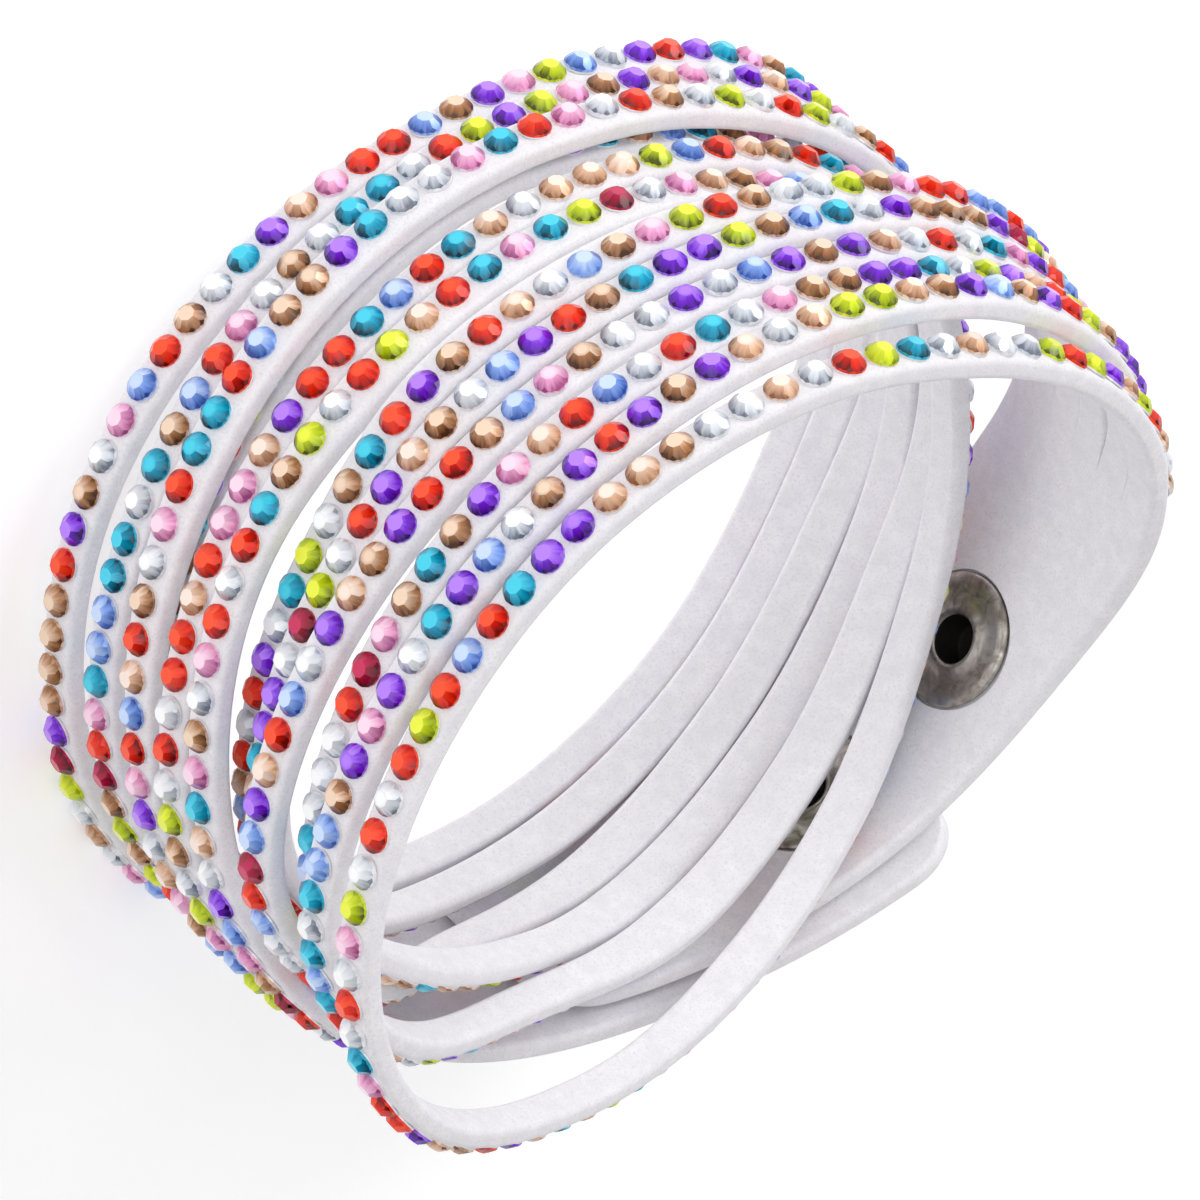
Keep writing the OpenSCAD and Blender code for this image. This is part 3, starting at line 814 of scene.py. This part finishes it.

# %% [markdown]
# Each colour is a glass of its own, named as a bead seller would, with a dark, a body and a pale
# tone. Reflections between the facets show as fine streaks that run out from the middle, so a noise
# is read over the angle round the stone. The gloss is a clear coat with the index of glass.

# %% Stone glass and foil
# Dark, body and pale tone, which the facets' painted light and shade pick from, and how often the
# colour comes up
STONE_COLOURS = {
    "crystal": ("#747c8c", "#d4d9e0", "#fcfdfe", 6),
    "violet": ("#280054", "#7418d4", "#b880fc", 6),
    "smoky_topaz": ("#482a16", "#aa744a", "#f2d6bc", 5),
    "light_topaz": ("#8c5a3c", "#dcae8c", "#fce8da", 4),
    "hyacinth_red": ("#6a0400", "#e01c00", "#fc5026", 5),
    "siam_red": ("#300010", "#98002e", "#cc2a5a", 1),
    "teal": ("#003848", "#0094b8", "#44d2ec", 4),
    "light_sapphire": ("#2c50a4", "#789ee8", "#cadefe", 4),
    "light_rose": ("#a04c80", "#e698c4", "#fedcee", 4),
    "peridot": ("#4a5600", "#b8cc00", "#ecf440", 4),
}
# Where the three tones stand on the scale of tones
DARK_AT, BODY_AT, PALE_AT = 0.08, 0.48, 0.92
# Noise cells in a radian round a stone, in a mm outward, and from the least seed to the highest
STREAKS_ROUND, STREAKS_OUTWARD, STREAKS_APART = 3.0, 1.4, 40.0
# Depth of the streaks in tone, how much of it is left on the table, and the share of the radius
# where it is full
STREAK_DEPTH = 0.32
TABLE_STREAKS = 0.15
FULL_STREAKS_REACH = 0.85
# How much paler the middle is than the facets' own tone, as a painted reflection of the foil, how
# much darker the rim, as painted shade, and how far out the middle reaches, as a share of the
# radius
MIDDLE_LIFT, RIM_DROP = 0.36, 0.24
MIDDLE_REACH = 0.25
# Size of the grain in the foil
GRAIN_MM = 0.2


def stone_glass(name, dark, body, pale):
    """Glass over foil, coloured by the facets' tones and the streaks between them."""
    material = new_material("glass_" + name)
    facet = add_node(material, "ShaderNodeAttribute", settings={"attribute_name": "facet"})
    parts = add_node(material, "ShaderNodeSeparateColor", links=[("Color", facet, "Color")])
    spot = add_node(material, "ShaderNodeUVMap", settings={"uv_map": "across_stone"})
    flat = add_node(material, "ShaderNodeSeparateXYZ", links=[("Vector", spot, "UV")])
    angle = add_node(material, "ShaderNodeMath", settings={"operation": "ARCTAN2"},
                     links=[(0, flat, "Y"), (1, flat, "X")])
    radius = add_node(material, "ShaderNodeVectorMath", settings={"operation": "LENGTH"},
                      links=[("Vector", spot, "UV")])
    polar = add_node(material, "ShaderNodeCombineXYZ",
                     links=[("X", angle, "Value"), ("Y", radius, "Value"), ("Z", parts, "Green")])
    stretch = add_node(material, "ShaderNodeVectorMath", settings={"operation": "MULTIPLY"},
                       values={1: (STREAKS_ROUND, STREAKS_OUTWARD, STREAKS_APART)},
                       links=[(0, polar, "Vector")])
    streaks = add_node(material, "ShaderNodeTexNoise", values={"Scale": 1.0, "Detail": 1.5},
                       links=[("Vector", stretch, "Vector")])
    depth = add_node(material, "ShaderNodeMapRange",
                     values={"From Min": 0.25, "From Max": 0.75, "To Min": -STREAK_DEPTH / 2,
                             "To Max": STREAK_DEPTH / 2},
                     links=[("Value", streaks, "Fac")])
    falloff = add_node(material, "ShaderNodeMapRange",
                       values={"From Min": MIDDLE_REACH * STONE_DIAMETER / 2,
                               "From Max": STONE_DIAMETER / 2,
                               "To Min": MIDDLE_LIFT, "To Max": -RIM_DROP},
                       links=[("Value", radius, "Value")])
    outward = add_node(material, "ShaderNodeMapRange",
                       values={"From Min": TABLE_REACH,
                               "From Max": FULL_STREAKS_REACH * STONE_DIAMETER / 2,
                               "To Min": TABLE_STREAKS, "To Max": 1.0},
                       links=[("Value", radius, "Value")])
    streaked = add_node(material, "ShaderNodeMath", settings={"operation": "MULTIPLY_ADD"},
                        links=[(0, depth, "Result"), (1, outward, "Result"), (2, parts, "Red")])
    tone = add_node(material, "ShaderNodeMath", settings={"operation": "ADD"},
                    links=[(0, streaked, "Value"), (1, falloff, "Result")])
    tint = add_ramp(material, tone, "Value", [(DARK_AT, dark), (BODY_AT, body), (PALE_AT, pale)])
    add_surface(material, {"Metallic": 0.25, "Roughness": 0.3, "Specular IOR Level": 0.1,
                           "Coat Weight": 0.5, "Coat IOR": 1.56, "Coat Roughness": 0.04},
                [("Base Color", tint, "Color")])
    return material


def foil_material():
    """Silver foil under lacquer: bright, with the grain of its roller."""
    material = new_material("silver_foil")
    place = add_node(material, "ShaderNodeTexCoord")
    grain = add_node(material, "ShaderNodeTexNoise", values={"Scale": 1 / (GRAIN_MM * MM)},
                     links=[("Vector", place, "Object")])
    shine = add_node(material, "ShaderNodeMapRange", values={"To Min": 0.4, "To Max": 0.6},
                     links=[("Value", grain, "Fac")])
    add_surface(material, {"Base Color": linear("#eeeef1"), "Metallic": 0.7},
                [("Roughness", shine, "Result")])
    return material


STONE_FOIL = foil_material()
GLASSES = [stone_glass(name, *tones[:3]) for name, tones in STONE_COLOURS.items()]
print("glass colours:", len(GLASSES))

# %% [markdown]
# Rows of stones. A machine presses the stones on at an even pitch, so each row steps along its
# strip by the real distance, and every stone gets a small turn and tilt of its own. The foil sends
# light back through one side of a stone and leaves the other side dark. Mostly that is the side
# away from the lamps, but each stone's dark side is drawn by chance round it. Row 4 is glued a
# little low on its strip where it passes under strip 3.

# %% Rows of stones
# Angle of the first stone, and half the angle from one stone to the next, about
FIRST_STONE = -175.0
HALF_STEP = 2.3
STONE_COUNT = 124
STONE_PITCH = 2.3
# How deep a stone's foot sinks into the glue, and how far it may tilt
SUNK = 0.02
TILT_DEGREES = 3.0
# The row that is glued low, the angles where that starts, is full, ebbs and ends, and how low it
# is as a share of the furthest pull of an edge
LOW_ROW, LOW_ROW_ANGLES, LOW_ROW_SHARE = 4, (250, 275, 340, 355), 0.5
AWAY_FROM_LAMPS = Vector((0.45, 0.8, 0.37))
# How far chance turns a dark side, how dark it is, and how much facets' own tones vary
SIDE_CHANCE, SIDE_SHADE = 0.7, 0.26
LEAST_TONE, MOST_TONE = 0.8, 1.2
FIRST_SEED = 70


def stone_angles(strip):
    """Angles of the stones along a strip, an even pitch apart."""
    angle = FIRST_STONE
    for _ in range(STONE_COUNT):
        yield angle
        near = angle + HALF_STEP
        mm_per_degree = (strip_middle(strip, near + 0.5) - strip_middle(strip, near - 0.5)).length
        angle += STONE_PITCH / mm_per_degree


def stone_place(strip, angle, chance):
    """Where one stone stands, with a small turn and tilt of its own."""
    middle, heading, upright, outward = strip_frame(strip, angle)
    if strip == LOW_ROW:
        middle -= upright * pull(angle, LOW_ROW_ANGLES) * LOW_ROW_SHARE
    side = outward.cross(heading)
    turn = Matrix((heading, side, outward)).transposed().to_4x4()
    tilts = [Matrix.Rotation(math.radians(chance.uniform(-TILT_DEGREES, TILT_DEGREES)), 4, axis)
             for axis in "XY"]
    spin = Matrix.Rotation(chance.uniform(0, math.tau), 4, "Z")
    return (lay_down @ Matrix.Translation((middle - outward * SUNK) * MM) @ turn
            @ tilts[0] @ tilts[1] @ spin @ Matrix.Scale(MM, 4))


def dark_side_of(place, chance):
    """Direction of a stone's dark side, in the plane of its own table."""
    away = AWAY_FROM_LAMPS + SIDE_CHANCE * Vector([chance.uniform(-1, 1) for _ in range(3)])
    return (place.to_3x3().transposed() @ away).xy.normalized()


def stone_row(strip, chance):
    """All the stones of one strip, with their colours drawn by chance."""
    often = [tones[3] for tones in STONE_COLOURS.values()]
    bm = bmesh.new()
    uv = bm.loops.layers.uv.new("across_stone")
    facet = bm.loops.layers.float_color.new("facet")
    for angle in stone_angles(strip):
        glass = chance.choices(range(len(often)), often)[0] + 1
        first_vert, first_face = len(bm.verts), len(bm.faces)
        bm.from_mesh(stone_template)
        bm.verts.ensure_lookup_table()
        bm.faces.ensure_lookup_table()
        place = stone_place(strip, angle, chance)
        bmesh.ops.transform(bm, matrix=place, verts=bm.verts[first_vert:])
        seed = chance.random()
        dark_side = dark_side_of(place, chance)
        for face, (is_foil, tone, normal, corners) in zip(bm.faces[first_face:], FACETS):
            face.material_index = 0 if is_foil else glass
            shade = SIDE_SHADE * normal.xy.dot(dark_side) if normal.z > STEEPEST_FACET else 0
            own_tone = tone * chance.uniform(LEAST_TONE, MOST_TONE) - shade
            for loop, corner in zip(face.loops, corners):
                loop[uv].uv = corner
                loop[facet] = (own_tone, seed, 0, 1)
    return bm


for strip in range(1, STRIPS + 1):
    stones = stone_row(strip, random.Random(FIRST_SEED + strip))
    row = new_piece("stone_row_" + str(strip), stones, STONE_FOIL, *GLASSES)
    if strip == 1:
        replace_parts(row, "stones_strip_1")
    if strip == STRIPS:
        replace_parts(row, "stones_strip_6")
    print(row.name, "faces:", len(row.data.polygons))
bpy.data.meshes.remove(stone_template)

# %% [markdown]
# The table under it and the light. The floor is a white sheet that glows by itself, with no lamp
# under it. It glows a little over the whole sheet and more in a painted pool of light under the
# hoop, so the ground there burns out to white, the inside is bright and the shadows are faint.
# White cards all round and soft boxes to the sides light the rest.

# %% Floor, lights and world
FLOOR_SIZE = 3.0
# Glow of the sheet in its painted pool of light under the hoop and away from it, and how far the
# painted pool reaches
PAINTED_POOL_GLOW, SHEET_GLOW = 0.6, 0.24
PAINTED_POOL_MIDDLE = (-6 * MM, 6 * MM, 0)
POOL_INNER, POOL_OUTER = 12 * MM, 34 * MM
# Name, the direction it shines from, distance and size in metres, and watts
SOFT_BOXES = (("key_soft_box", (-0.6, -0.65, 0.6), 0.6, 0.3, 1.1),
              ("front_card", (0.5, -0.6, 0.65), 0.9, 0.7, 1.7))
# Cards round the sky, how bright they are, and the dark gaps between them
CARD_SCALE = 2.4
CARD_LIGHT = 0.88
CARD_STOPS = ((0.42, "#30313a"), (0.47, "#ffffff"))


def floor_material():
    """White floor that glows by itself, most in a painted pool of light under the hoop."""
    material = new_material("white_floor_painted_glow")
    place = add_node(material, "ShaderNodeTexCoord")
    reach = add_node(material, "ShaderNodeVectorMath", settings={"operation": "DISTANCE"},
                     values={1: PAINTED_POOL_MIDDLE}, links=[(0, place, "Object")])
    # Painted light: the floor glows most in a pool under the hoop, where the hoop's shadow falls
    glow = add_node(material, "ShaderNodeMapRange", settings={"interpolation_type": "SMOOTHSTEP"},
                    values={"From Min": POOL_INNER, "From Max": POOL_OUTER,
                            "To Min": PAINTED_POOL_GLOW, "To Max": SHEET_GLOW},
                    links=[("Value", reach, "Value")])
    add_surface(material, {"Base Color": linear("#fbfbfb"), "Roughness": 0.6,
                           "Specular IOR Level": 0.1, "Emission Color": linear("#ffffff")},
                [("Emission Strength", glow, "Result")])
    return material


floor_mesh = bmesh.new()
bmesh.ops.create_grid(floor_mesh, x_segments=1, y_segments=1, size=FLOOR_SIZE / 2)
floor_data = bpy.data.meshes.new("backdrop")
floor_mesh.to_mesh(floor_data)
floor_mesh.free()
floor_data.materials.append(floor_material())
floor = bpy.data.objects.new("backdrop", floor_data)
bpy.context.scene.collection.objects.link(floor)


def soft_box(name, toward, distance, size, watts, aim):
    """An area light that shines at aim from the given direction."""
    light = bpy.data.lights.new(name, "AREA")
    light.shape, light.size, light.energy = "DISK", size, watts
    box = bpy.data.objects.new(name, light)
    direction = Vector(toward).normalized()
    box.location = aim + direction * distance
    box.rotation_mode = "QUATERNION"
    box.rotation_quaternion = direction.to_track_quat("Z", "Y")
    bpy.context.scene.collection.objects.link(box)


for box in SOFT_BOXES:
    soft_box(*box, (cad_box[0] + cad_box[1]) / 2)

world = bpy.data.worlds.new("white_cards")
bpy.context.scene.world = world
world.use_nodes = True
direction = add_node(world, "ShaderNodeTexCoord")
cards = add_node(world, "ShaderNodeTexNoise", values={"Scale": CARD_SCALE, "Detail": 0.0},
                 links=[("Vector", direction, "Generated")])
shades = add_ramp(world, cards, "Fac", CARD_STOPS)
background = world.node_tree.nodes["Background"]
background.inputs["Strength"].default_value = CARD_LIGHT
world.node_tree.links.new(shades.outputs["Color"], background.inputs["Color"])
bpy.context.scene.view_settings.view_transform = "Standard"
print("soft boxes:", [box[0] for box in SOFT_BOXES])

# %% [markdown]
# The camera looks from the angle of the product picture. There the bracelet was held up on its
# edge, so the camera is rolled by nearly 119 degrees to show it the same way up. A long lens, as
# for small goods, keeps the far rim from shrinking.

# %% Camera
# The point it looks at, its direction and roll in degrees, and its distance, lens and range
AIM = Vector((2.9, -2.4, 18.8)) * MM
AZIMUTH, ELEVATION, ROLL = 41.54, 38.80, 118.8
DISTANCE = 383.5 * MM
LENS_MM, SENSOR_MM = 197.89, 36.0
NEAREST, FURTHEST = 0.01, 10.0

azimuth, elevation = math.radians(AZIMUTH), math.radians(ELEVATION)
back = Vector((math.sin(azimuth) * math.cos(elevation), -math.cos(azimuth) * math.cos(elevation),
               math.sin(elevation)))
level = Vector((math.cos(azimuth), math.sin(azimuth), 0))
upright = back.cross(level)
roll = math.radians(ROLL)
right = level * math.cos(roll) + upright * math.sin(roll)
lens = bpy.data.cameras.new("product_camera")
lens.lens, lens.sensor_width = LENS_MM, SENSOR_MM
lens.clip_start, lens.clip_end = NEAREST, FURTHEST
camera = bpy.data.objects.new("product_camera", lens)
camera.matrix_world = (Matrix.Translation(AIM + back * DISTANCE)
                       @ Matrix((right, back.cross(right), back)).transposed().to_4x4())
bpy.context.scene.collection.objects.link(camera)
bpy.context.scene.camera = camera
print("camera at mm:", [round(c / MM, 1) for c in camera.matrix_world.translation])
